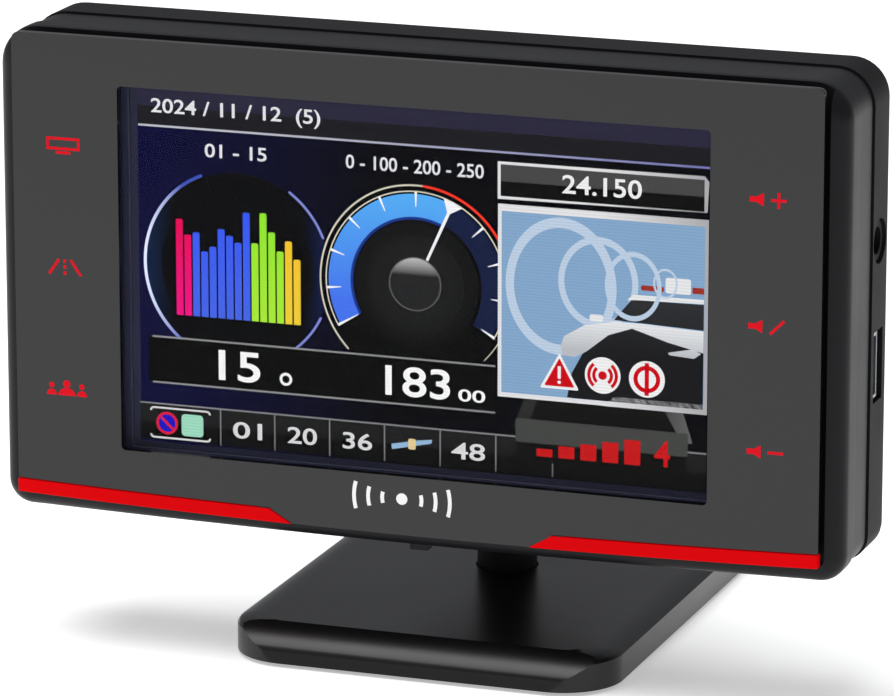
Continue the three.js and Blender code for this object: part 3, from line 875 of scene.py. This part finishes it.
class DETECTOR_OT_picture_ground(bpy.types.Operator):
    """Dark ground of the picture and the header bar with its date"""

    bl_idname = "detector.picture_ground"
    bl_label = "Picture Ground and Header"

    def execute(self, context):
        ground = [strip(*FULL, -23.1, 23.4, layer(0))]
        light(ground, "picture_ground", "#06063a", ("#000004", "X", -38, -6))
        light([strip(*FULL, 21.05, 23.4, layer(1))], "header_upper", "#2b2940")
        light([strip(*FULL, 18.65, 21.05, layer(1))], "header_lower", "#1b1b21")
        rule = [strip(-38.0, 38.1, 18.42, 18.68, layer(2))]
        light(rule, "header_line", "#d0d0dc", ("#8484c8", "X", -20, 38))
        figures = [
            digits("2024 / 11 / 12  (5)", -36.2, -13.2, 19.7, 22.15, layer(3)),
            digits("01 - 15", -28.9, -20.5, 14.95, 16.75, layer(3)),
            digits("0 - 100 - 200 - 250", -9.8, 8.6, 14.95, 16.75, layer(3)),
        ]
        light(figures, "header_figures", "#f4f4f8")
        return {"FINISHED"}


class DETECTOR_OT_bar_gauge(bpy.types.Operator):
    """Round gauge on the left with its fifteen coloured bars"""

    bl_idname = "detector.bar_gauge"
    bl_label = "Bar Gauge"

    def execute(self, context):
        centre = (-24.6, 0.8)
        light([disc(centre, 12.4, layer(1))], "gauge_well", "#010103")
        halo = [band(centre, 10.4, 12.5, 110, 245, layer(2))]
        light(halo, "gauge_halo_left", "#0b2147", ("#010103", "X", -37, -33.5))
        halo = [band(centre, 10.4, 12.5, -55, 52, layer(2))]
        light(halo, "gauge_halo_right", "#010103", ("#0d1a4c", "X", -15.5, -12))
        rim = [band(centre, 12.45, 12.85, 112, 248, layer(3))]
        light(rim, "gauge_rim_left", "#dfe6ff", ("#3a4fb0", "X", -37.2, -32), 1.3)
        rim = [band(centre, 12.5, 12.8, *ends, layer(3)) for ends in ((22, 56), (-52, -26))]
        light(rim, "gauge_rim_right", "#8e97ee")
        self.bars(first=-32.5, pitch=1.146, width=0.94, foot=-5.97)
        return {"FINISHED"}

    def bars(self, first, pitch, width, foot):
        """Four groups of bars with rounded corners, each group in its own colour."""
        groups = (
            ("rose", "#ff0a8c", "#f00050", (12.6, 10.6)),
            ("blue", "#4a6cf6", "#3a5cff", (11.0, 8.6, 9.3, 11.7, 10.9, 10.1, 14.1)),
            ("lime", "#b4f83c", "#98f030", (10.2, 14.2, 11.8, 9.4)),
            ("amber", "#ffdc3c", "#ffc828", (10.8, 8.5)),
        )
        x = first
        for word, code, other, heights in groups:
            bars = []
            for height in heights:
                bar = strip(x - width / 2, x + width / 2, foot, foot + height, layer(3))
                top = at(0, 0, foot + height).z
                choose(bar, "VERT", lambda v: abs(v.co.z - top) < EPS)
                bpy.ops.mesh.bevel(offset=0.2 * MM, segments=3, affect="VERTICES")
                bars.append(bar)
                x += pitch
            light(bars, f"gauge_bars_{word}", code, (other, "Z", -6, 8))


class DETECTOR_OT_needle_dial(bpy.types.Operator):
    """Needle dial in the middle with its blue sweep, ticks and knob"""

    bl_idname = "detector.needle_dial"
    bl_label = "Needle Dial"

    def execute(self, context):
        centre, needle, first, last = (-0.4, 0.6), 65.5, 210, -31
        light([disc(centre, 13.1, layer(4))], "dial_well", "#020203")
        sweep = [band(centre, 8.8, 11.75, needle, first, layer(5))]
        light(sweep, "dial_sweep", "#4a7cff", ("#58b4ff", "Z", -2, 12))
        light([band(centre, 8.8, 11.75, last, needle, layer(5))], "dial_rest", "#111d44")
        light([band(centre, 8.45, 8.8, needle, first, layer(5))], "dial_sweep_edge", "#163a9a")
        light([band(centre, 5.0, 8.2, 0, 360, layer(5))], "dial_bowl", "#101011")
        light([disc(centre, 6.3, layer(6))], "dial_bowl_inner", "#1c1c1d")
        rings = [
            band(centre, 12.75, 12.97, 86, 225, layer(5)),
            band(centre, 12.0, 12.16, last, first, layer(6)),
            band(centre, 12.8, 12.92, -45, 30, layer(5)),
        ]
        light(rings, "dial_rings", "#e8e2d0")
        light([band(centre, 12.7, 13.02, 30, 86, layer(5))], "dial_red_zone", "#ff3a24")
        self.ticks(centre, needle, first)
        knob = (centre[0] - 0.1, centre[1] + 0.1)
        light([disc(knob, 3.35, layer(7))], "dial_knob", "#262627", ("#c8c8c8", "Z", 1.8, 4.2))
        light([band(knob, 3.35, 3.5, 0, 360, layer(7))], "dial_knob_rim", "#6a6a6c")
        return {"FINISHED"}

    def ticks(self, centre, needle, first):
        """Eleven tapered ticks, 24 degrees apart, and the needle with its arrow tip."""
        ticks = []
        for number in range(11):
            turn = first - 24 * number
            inner = 10.1 if number else 9.0
            ends = [around(centre, radius, turn) for radius in (12.1, inner)]
            ticks.append(line(*ends, 0.36, layer(6), 0.1))
        ends = [around(centre, radius, needle) for radius in (3.6, 12.1)]
        ticks.append(line(*ends, 0.34, layer(7), 0.42))
        tip = [around(centre, *place) for place in ((10.3, needle), (12.1, 59), (12.1, 72))]
        ticks.append(sheet(tip, layer(7)))
        light(ticks, "dial_ticks", "#fbfbff", strength=1.1)


class DETECTOR_OT_readouts(bpy.types.Operator):
    """Black band under the gauges with the two large numbers"""

    bl_idname = "detector.readouts"
    bl_label = "Readouts"

    def execute(self, context):
        light([strip(-36.9, 10.4, -15.1, -9.0, layer(6))], "readout_band", "#010101")
        lines = [strip(-36.3, 10.2, z - 0.1, z + 0.12, layer(8)) for z in (-9.05, -15.1)]
        light(lines, "readout_lines", "#a2a2a4")
        figures = [
            digits("15", -27.2, -21.5, -14.1, -10.1, layer(9)),
            digits("183", -4.5, 4.2, -14.05, -10.1, layer(9)),
            digits("00", 5.3, 8.9, -14.0, -12.4, layer(9)),
            band((-18.0, -13.2), 0.5, 0.85, 0, 360, layer(9)),
        ]
        light(figures, "readout_figures", "#ffffff", strength=1.1)
        return {"FINISHED"}


class DETECTOR_OT_side_window(bpy.types.Operator):
    """Picture window on the right: spreading waves over a plain car, with three warning signs"""

    bl_idname = "detector.side_window"
    bl_label = "Side Window"

    def execute(self, context):
        title = [(10.5, 12.6), (37.9, 12.9), (38.1, 16.8), (37.5, 17.5), (10.5, 17.4)]
        foot = [(24.6, -12.9), (38.1, -12.9), (38.1, -11.6), (26.0, -11.6)]
        frames = [sheet(title, layer(8)), strip(10.55, 38.1, -12.9, 12.0, layer(8)), sheet(foot, layer(13))]
        light(frames, "window_frames", "#f2f2f4", ("#a8a8ac", "X", 24, 40))
        light([strip(10.9, 37.5, 14.9, 17.05, layer(9))], "title_upper", "#4b4b4b")
        light([strip(10.9, 37.5, 13.0, 14.9, layer(9))], "title_lower", "#050505")
        light([digits("24.150", 19.0, 29.4, 13.95, 16.35, layer(10))], "title_figures", "#ffffff")
        light([strip(11.05, 37.65, -12.3, 11.1, layer(9))], "window_sky", "#8cb2d8")
        waves = [
            band((18.9, 2.0), 6.2, 7.3, 0, 360, layer(10), 1.21),
            band((23.8, 2.9), 4.45, 5.25, 0, 360, layer(11), 1.12),
            band((28.4, 2.8), 3.15, 3.7, 0, 360, layer(14), 1.2),
            band((32.6, 3.5), 1.35, 1.6, 0, 360, layer(14), 1.2),
        ]
        light(waves, "window_waves", "#c9dcf2")
        self.car()
        self.warning_signs()
        return {"FINISHED"}

    def car(self):
        """The front of a plain car, cut off by the window's right side."""
        right = 37.6
        body = [(19.8, -12.2), (20.4, -9.0), (21.8, -6.4), (25.0, -3.6), (28.3, -2.4)]
        body += [(right, -4.6), (right, -12.2)]
        glass = [(25.9, -1.7), (28.2, 1.1), (right, 1.2), (right, -2.1)]
        lower = [(20.4, -12.25), (20.0, -11.4), (right, -11.0), (right, -12.25)]
        dark = [sheet(body, layer(12)), sheet(glass, layer(12)), sheet(lower, layer(13))]
        light(dark, "car_dark", "#17171b", ("#2e3033", "Z", -6, 1.5))
        hood = [(18.9, -5.6), (19.4, -4.3), (22.0, -2.7), (26.0, -1.9), (30.0, -1.9)]
        hood += [(right, -2.2), (right, -5.0), (33.0, -4.0), (28.3, -2.6), (25.2, -3.7)]
        hood += [(22.4, -6.0), (20.8, -6.9), (19.2, -6.8)]
        roof = [(27.6, 1.0), (28.4, 1.75), (right, 1.85), (right, 1.3), (29.0, 1.1)]
        lamp = [(33.0, -5.3), (36.2, -4.6), (37.3, -5.1), (36.4, -5.8), (33.2, -5.6)]
        pale = [sheet(shape, layer(13)) for shape in (hood, roof, lamp)]
        pale.append(strip(22.7, 24.5, -2.1, -1.2, layer(12), 0.3))
        pale.append(strip(32.6, 35.9, 2.3, 4.3, layer(12), 0.3))
        light(pale, "car_pale", "#f4f6f8", ("#c0c4ca", "Z", -2, -6))
        lamps = [strip(29.4, 32.4, 2.4, 3.05, layer(12), 0.2), strip(36.1, right, 2.5, 3.3, layer(12))]
        light(lamps, "car_lamps", "#a8342c")

    def warning_signs(self):
        """Three red signs on white: a triangle, spreading waves and a target."""
        z = -8.95
        first, second, third = 18.8, 24.5, 30.3
        triangle = [(first - 2.6, z - 2.25), (first + 2.6, z - 2.25), (first, z + 2.4)]
        backs = [sheet(triangle, layer(15), 0.3)]
        backs += [disc((x, z), 2.35, layer(15)) for x in (second, third)]
        light(backs, "sign_backs", "#ffffff")
        triangle = [(first - 2.0, z - 1.9), (first + 2.0, z - 1.9), (first, z + 1.75)]
        reds = [sheet(triangle, layer(16), 0.2), disc((second, z), 0.55, layer(16))]
        for radius in (0.95, 1.6):
            for turn in (0, 180):
                wave = band((second, z), radius, radius + 0.42, turn - 50, turn + 50, layer(16))
                reds.append(wave)
        reds.append(band((third, z), 1.2, 1.75, 0, 360, layer(16)))
        reds.append(strip(third - 0.28, third + 0.28, z - 2.1, z + 2.1, layer(16)))
        light(reds, "sign_reds", "#d80010")
        bar = strip(first - 0.2, first + 0.2, z - 0.9, z + 0.7, layer(17))
        light([bar, disc((first, z - 1.35), 0.22, layer(17))], "sign_mark", "#ffffff")


class DETECTOR_OT_status_row(bpy.types.Operator):
    """Row of small fields along the foot of the picture"""

    bl_idname = "detector.status_row"
    bl_label = "Status Row"

    def execute(self, context):
        low, mid, high = -22.75, -20.5, -17.95
        light([strip(*FULL, mid, high, layer(9))], "row_upper", "#1d1d1e")
        light([strip(*FULL, low, mid, layer(9))], "row_lower", "#060606")
        rules = [strip(*FULL, high - 0.08, high + 0.12, layer(10))]
        for x in (-27.0, -19.56, -12.07, -4.62, 2.88, 10.34, 17.9):
            rules.append(strip(x - 0.08, x + 0.08, low, high, layer(10)))
        light(rules, "row_rules", "#8e8e92")
        light(self.rounded_box() + self.figures(), "row_figures", "#e8e8ea")
        disc_centre = (-34.4, -20.45)
        light([disc(disc_centre, 1.15, layer(10))], "row_disc", "#1e14c8")
        ring = band(disc_centre, 1.15, 1.5, 0, 360, layer(11))
        bar = line((-35.2, -19.7), (-33.6, -21.2), 0.35, layer(11))
        light([ring, bar], "row_ring", "#e0203c")
        light([strip(-32.4, -29.4, -21.95, -19.05, layer(10), 0.5)], "row_tile", "#a8e8cc")
        left = [(-3.6, -21.1), (-1.4, -20.6), (-1.3, -19.9), (-3.7, -20.4)]
        right = [(-0.5, -20.4), (1.7, -19.9), (1.8, -19.4), (-0.4, -19.7)]
        light([sheet(wing, layer(10)) for wing in (left, right)], "row_wings", "#9cc4e6")
        light([strip(-1.4, -0.4, -20.9, -19.5, layer(11), 0.2)], "row_core", "#f2d89c")
        return {"FINISHED"}

    def rounded_box(self):
        """The two long sides and four round corners of the first field's outline."""
        x0, x1 = -36.2, -28.9
        corners = ((x1, -18.9, 0), (x0, -18.9, 90), (x0, -22.0, 180), (x1, -22.0, 270))
        box = [band((x, z), 0.3, 0.55, turn, turn + 90, layer(10)) for x, z, turn in corners]
        return box + [strip(x0, x1, z - 0.12, z + 0.12, layer(10)) for z in (-18.47, -22.43)]

    def figures(self):
        """The numbers of the other fields."""
        ends = (("01", -25.3, -21.3), ("20", -17.8, -13.8), ("36", -10.3, -6.3), ("48", 4.4, 8.9))
        return [digits(text, x0, x1, -21.6, -19.4, layer(10)) for text, x0, x1 in ends]


class DETECTOR_OT_level_panel(bpy.types.Operator):
    """Level panel under the picture window: five rising red blocks and their number"""

    bl_idname = "detector.level_panel"
    bl_label = "Level Panel"

    def execute(self, context):
        neck = [(14.1, -12.9), (35.0, -12.9), (36.3, -16.8), (12.6, -16.8)]
        light([sheet(neck, layer(10))], "level_neck", "#2c2d2c", ("#6a6b6a", "X", 30, 37))
        inner = [(16.0, -12.9), (32.6, -12.9), (34.2, -15.6), (14.8, -15.6)]
        light([sheet(inner, layer(11))], "level_well", "#0c0c0c")
        light([strip(13.0, 35.7, -18.6, -15.5, layer(12), 0.2)], "level_upper", "#474947")
        light([strip(13.1, 35.6, -21.0, -18.5, layer(12), 0.2)], "level_lower", "#080908")
        blocks = []
        for i in range(5):
            x = 15.8 + 2.9 * i
            blocks.append(strip(x, x + 2.1, -20.2, -19.2 + 0.55 * i, layer(13)))
        blocks.append(digits("4", 31.3, 33.4, -20.1, -16.7, layer(13)))
        light(blocks, "level_blocks", "#d21418")
        return {"FINISHED"}


# ---- the stand ----


class DETECTOR_OT_foot(bpy.types.Operator):
    """Foot on the dashboard: a rounded plate with a sloping nose and softened shoulders"""

    bl_idname = "detector.foot"
    bl_label = "Foot"

    def execute(self, context):
        foot = smooth(soften(copy_of("base_plate"), 0.2, 3, 30), 32)
        material = finish_of("foot_abs")
        finish_piece(foot, "foot_plate", "stand", "satin_black_abs", material, "base_plate")
        pad = smooth(copy_of("adhesive_pad"))
        finish_piece(pad, "gel_pad", "stand", "adhesive_gel", finish_of("gel"), "adhesive_pad")
        return {"FINISHED"}


class DETECTOR_OT_post(bpy.types.Operator):
    """Upright post with its ball"""

    bl_idname = "detector.post"
    bl_label = "Post"

    def execute(self, context):
        post = smooth(copy_of("ball_stem"), 40)
        finish_piece(post, "ball_post", "stand", "satin_black_abs", finish_of("satin_abs"), "ball_stem")
        return {"FINISHED"}


class DETECTOR_OT_clamp(bpy.types.Operator):
    """Ring nut with its finger grooves, and the socket bracket it clamps"""

    bl_idname = "detector.clamp"
    bl_label = "Nut and Bracket"

    def execute(self, context):
        nut = smooth(soften(copy_of("clamp_nut"), 0.15, 2, 45), 40)
        finish_piece(nut, "ring_nut", "nut", "matte_black_abs", finish_of("matte_abs"), "clamp_nut")
        bracket = smooth(soften(copy_of("socket_arm"), 0.2, 2, 50), 40)
        material = finish_of("satin_abs")
        finish_piece(bracket, "socket_bracket", "arm", "satin_black_abs", material, "socket_arm")
        return {"FINISHED"}


class DETECTOR_OT_kept_parts(bpy.types.Operator):
    """Finishes of the inner parts and fittings that keep their frame shape"""

    bl_idname = "detector.kept_parts"
    bl_label = "Inner Parts"

    finishes = {
        "lcd_frame": "tinned",
        "lcd_glass": "glass",
        "backlight_unit": "diffuser",
        "touch_board_left": "board",
        "touch_board_right": "board",
        "main_board": "board",
        "gps_antenna": "ceramic",
        "shield_can": "tinned",
        "receiver_horn": "tinned",
        "backup_cell": "steel",
        "speaker_frame": "steel",
        "speaker_cone": "matte_abs",
        "power_inlet": "matte_abs",
        "data_inlet": "tinned",
        "card_socket": "tinned",
        "memory_card": "matte_abs",
        "stem_screw": "steel",
        "upper_cup": "nylon",
        "lower_cup": "nylon",
    }

    def execute(self, context):
        for node, word in self.finishes.items():
            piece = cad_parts[node]
            piece.data.materials.clear()
            piece.data.materials.append(finish_of(word))
        return {"FINISHED"}


# ---- the stage ----


class DETECTOR_OT_stage(bpy.types.Operator):
    """Pale floor, soft lights and the camera"""

    bl_idname = "detector.stage"
    bl_label = "Stage"

    def execute(self, context):
        stage = context.scene.detector_stage
        clear_selection()
        bpy.ops.mesh.primitive_plane_add(size=6)
        floor = settle(bpy.context.object)
        floor.name = "studio_floor"
        floor.data.materials.append(finish_of("paper"))
        self.add_lights(stage)
        self.add_camera(context.scene, stage)
        context.scene.view_settings.view_transform = "Standard"
        return {"FINISHED"}

    def add_lights(self, stage):
        """A pale room, a large soft light overhead and a low one at the left."""
        world = bpy.data.worlds.new("pale_room")
        bpy.context.scene.world = world
        world.use_nodes = True
        ground = world.node_tree.nodes["Background"]
        ground.inputs["Color"].default_value = (*linear("#f4f6fa"), 1)
        ground.inputs["Strength"].default_value = stage.room_strength
        target = Vector((0, 0, 0.04))
        lamps = (
            ("overhead", (-0.25, -0.1, 1.3), 1.1, stage.overhead_power),
            ("left_fill", (-0.9, -0.6, 0.4), 0.5, stage.fill_power),
        )
        for name, place, size, power in lamps:
            clear_selection()
            bpy.ops.object.light_add(type="AREA", location=place)
            lamp = bpy.context.object
            lamp.name = name
            lamp.data.size = size
            lamp.data.energy = power
            lamp.rotation_euler = (target - Vector(place)).to_track_quat("-Z", "Y").to_euler()

    def add_camera(self, scene, stage):
        """A long lens, turned to the driver's right and a little above."""
        turn, rise = stage.camera_turn, stage.camera_rise
        back = Vector((sin(turn) * cos(rise), -cos(turn) * cos(rise), sin(rise)))
        right = Vector((cos(turn), sin(turn), 0))
        up = back.cross(right)
        aside, below = 4.777 * MM, 6.465 * MM  # the view's centre, from the middle of the panel
        place = at(0, 0, 0) + right * aside - up * below + back * stage.camera_distance
        clear_selection()
        bpy.ops.object.camera_add(location=place)
        camera = bpy.context.object
        camera.rotation_euler = back.to_track_quat("Z", "Y").to_euler()
        camera.data.lens = stage.camera_lens
        camera.data.sensor_width = 36
        camera.data.clip_start = 0.01
        scene.camera = camera


# ---- settings, panel and registration ----


class DetectorHeadSettings(bpy.types.PropertyGroup):
    """Sizes and colours of the head that a user may change"""

    strip_height: bpy.props.FloatProperty(
        name="Strip Height",
        description="Height of the red strips",
        default=1.7 * MM,
        subtype="DISTANCE",
        unit="LENGTH",
    )
    strip_tip: bpy.props.FloatProperty(
        name="Strip End",
        description="Distance of a strip's pointed end from the middle",
        default=16 * MM,
        subtype="DISTANCE",
        unit="LENGTH",
    )
    strip_slant: bpy.props.FloatProperty(
        name="Strip Slant",
        description="How far a strip's end leans",
        default=3 * MM,
        subtype="DISTANCE",
        unit="LENGTH",
    )
    panel_edge: bpy.props.FloatProperty(
        name="Panel Edge",
        description="Width of the panel's polished edge",
        default=0.25 * MM,
        subtype="DISTANCE",
        unit="LENGTH",
    )
    panel_gap: bpy.props.FloatProperty(
        name="Panel Gap",
        description="Width of the groove round the panel",
        default=0.4 * MM,
        subtype="DISTANCE",
        unit="LENGTH",
    )
    bezel_round: bpy.props.FloatProperty(
        name="Bezel Rounding",
        description="Radius of the casing's front edge",
        default=2.6 * MM,
        subtype="DISTANCE",
        unit="LENGTH",
    )
    panel_colour: bpy.props.FloatVectorProperty(
        name="Panel Colour",
        description="Colour of the smoked front panel",
        default=linear("#08080a"),
        size=3,
        min=0,
        max=1,
        subtype="COLOR",
    )
    strip_colour: bpy.props.FloatVectorProperty(
        name="Strip Colour",
        description="Colour of the two acrylic strips",
        default=linear("#d40006"),
        size=3,
        min=0,
        max=1,
        subtype="COLOR",
    )
    mark_colour: bpy.props.FloatVectorProperty(
        name="Key Mark Colour",
        description="Colour of the printed key marks",
        default=linear("#d80018"),
        size=3,
        min=0,
        max=1,
        subtype="COLOR",
    )


class DetectorStageSettings(bpy.types.PropertyGroup):
    """Lights and camera"""

    room_strength: bpy.props.FloatProperty(
        name="Room",
        description="Brightness of the pale room",
        default=0.3,
    )
    overhead_power: bpy.props.FloatProperty(
        name="Overhead",
        description="Power of the overhead light",
        default=19.0,
        subtype="POWER",
        unit="POWER",
    )
    fill_power: bpy.props.FloatProperty(
        name="Fill",
        description="Power of the low light at the left",
        default=1.5,
        subtype="POWER",
        unit="POWER",
    )
    camera_turn: bpy.props.FloatProperty(
        name="Camera Turn",
        description="Camera's turn to the driver's right",
        default=radians(19.53),
        subtype="ANGLE",
        unit="ROTATION",
    )
    camera_rise: bpy.props.FloatProperty(
        name="Camera Rise",
        description="Camera's height as an angle",
        default=radians(14.37),
        subtype="ANGLE",
        unit="ROTATION",
    )
    camera_distance: bpy.props.FloatProperty(
        name="Camera Distance",
        description="Distance from the panel to the camera",
        default=754.76 * MM,
        subtype="DISTANCE",
        unit="LENGTH",
    )
    camera_lens: bpy.props.FloatProperty(
        name="Lens",
        description="Focal length in millimetres",
        default=242.3,
    )


PIECE_OPERATORS = (
    DETECTOR_OT_front_panel,
    DETECTOR_OT_red_strips,
    DETECTOR_OT_window,
    DETECTOR_OT_bezel,
    DETECTOR_OT_middle_band,
    DETECTOR_OT_rear_cover,
    DETECTOR_OT_case_screws,
    DETECTOR_OT_key_marks,
    DETECTOR_OT_picture_ground,
    DETECTOR_OT_bar_gauge,
    DETECTOR_OT_needle_dial,
    DETECTOR_OT_readouts,
    DETECTOR_OT_side_window,
    DETECTOR_OT_status_row,
    DETECTOR_OT_level_panel,
    DETECTOR_OT_foot,
    DETECTOR_OT_post,
    DETECTOR_OT_clamp,
    DETECTOR_OT_kept_parts,
    DETECTOR_OT_stage,
)


class DETECTOR_PT_sidebar(bpy.types.Panel):
    """Lists the detector's pieces and settings"""

    bl_label = "Radar Detector"
    bl_space_type = "VIEW_3D"
    bl_region_type = "UI"
    bl_category = "Detector"

    def draw(self, context):
        layout = self.layout
        for settings in (context.scene.detector_head, context.scene.detector_stage):
            for name in settings.bl_rna.properties.keys():
                if name not in ("rna_type", "name"):
                    layout.prop(settings, name)
        for operator in PIECE_OPERATORS:
            layout.operator(operator.bl_idname)


CLASSES = (DetectorHeadSettings, DetectorStageSettings, *PIECE_OPERATORS, DETECTOR_PT_sidebar)


def register():
    """Registers the classes and the settings."""
    for cls in CLASSES:
        bpy.utils.register_class(cls)
    bpy.types.Scene.detector_head = bpy.props.PointerProperty(type=DetectorHeadSettings)
    bpy.types.Scene.detector_stage = bpy.props.PointerProperty(type=DetectorStageSettings)


def unregister():
    """Takes the settings and the classes away again."""
    del bpy.types.Scene.detector_stage
    del bpy.types.Scene.detector_head
    for cls in reversed(CLASSES):
        bpy.utils.unregister_class(cls)


def main():
    """Builds every piece in order."""
    register()
    for operator in PIECE_OPERATORS:
        group, name = operator.bl_idname.split(".")
        getattr(getattr(bpy.ops, group), name)()
    clear_selection()


if __name__ == "__main__":
    main()
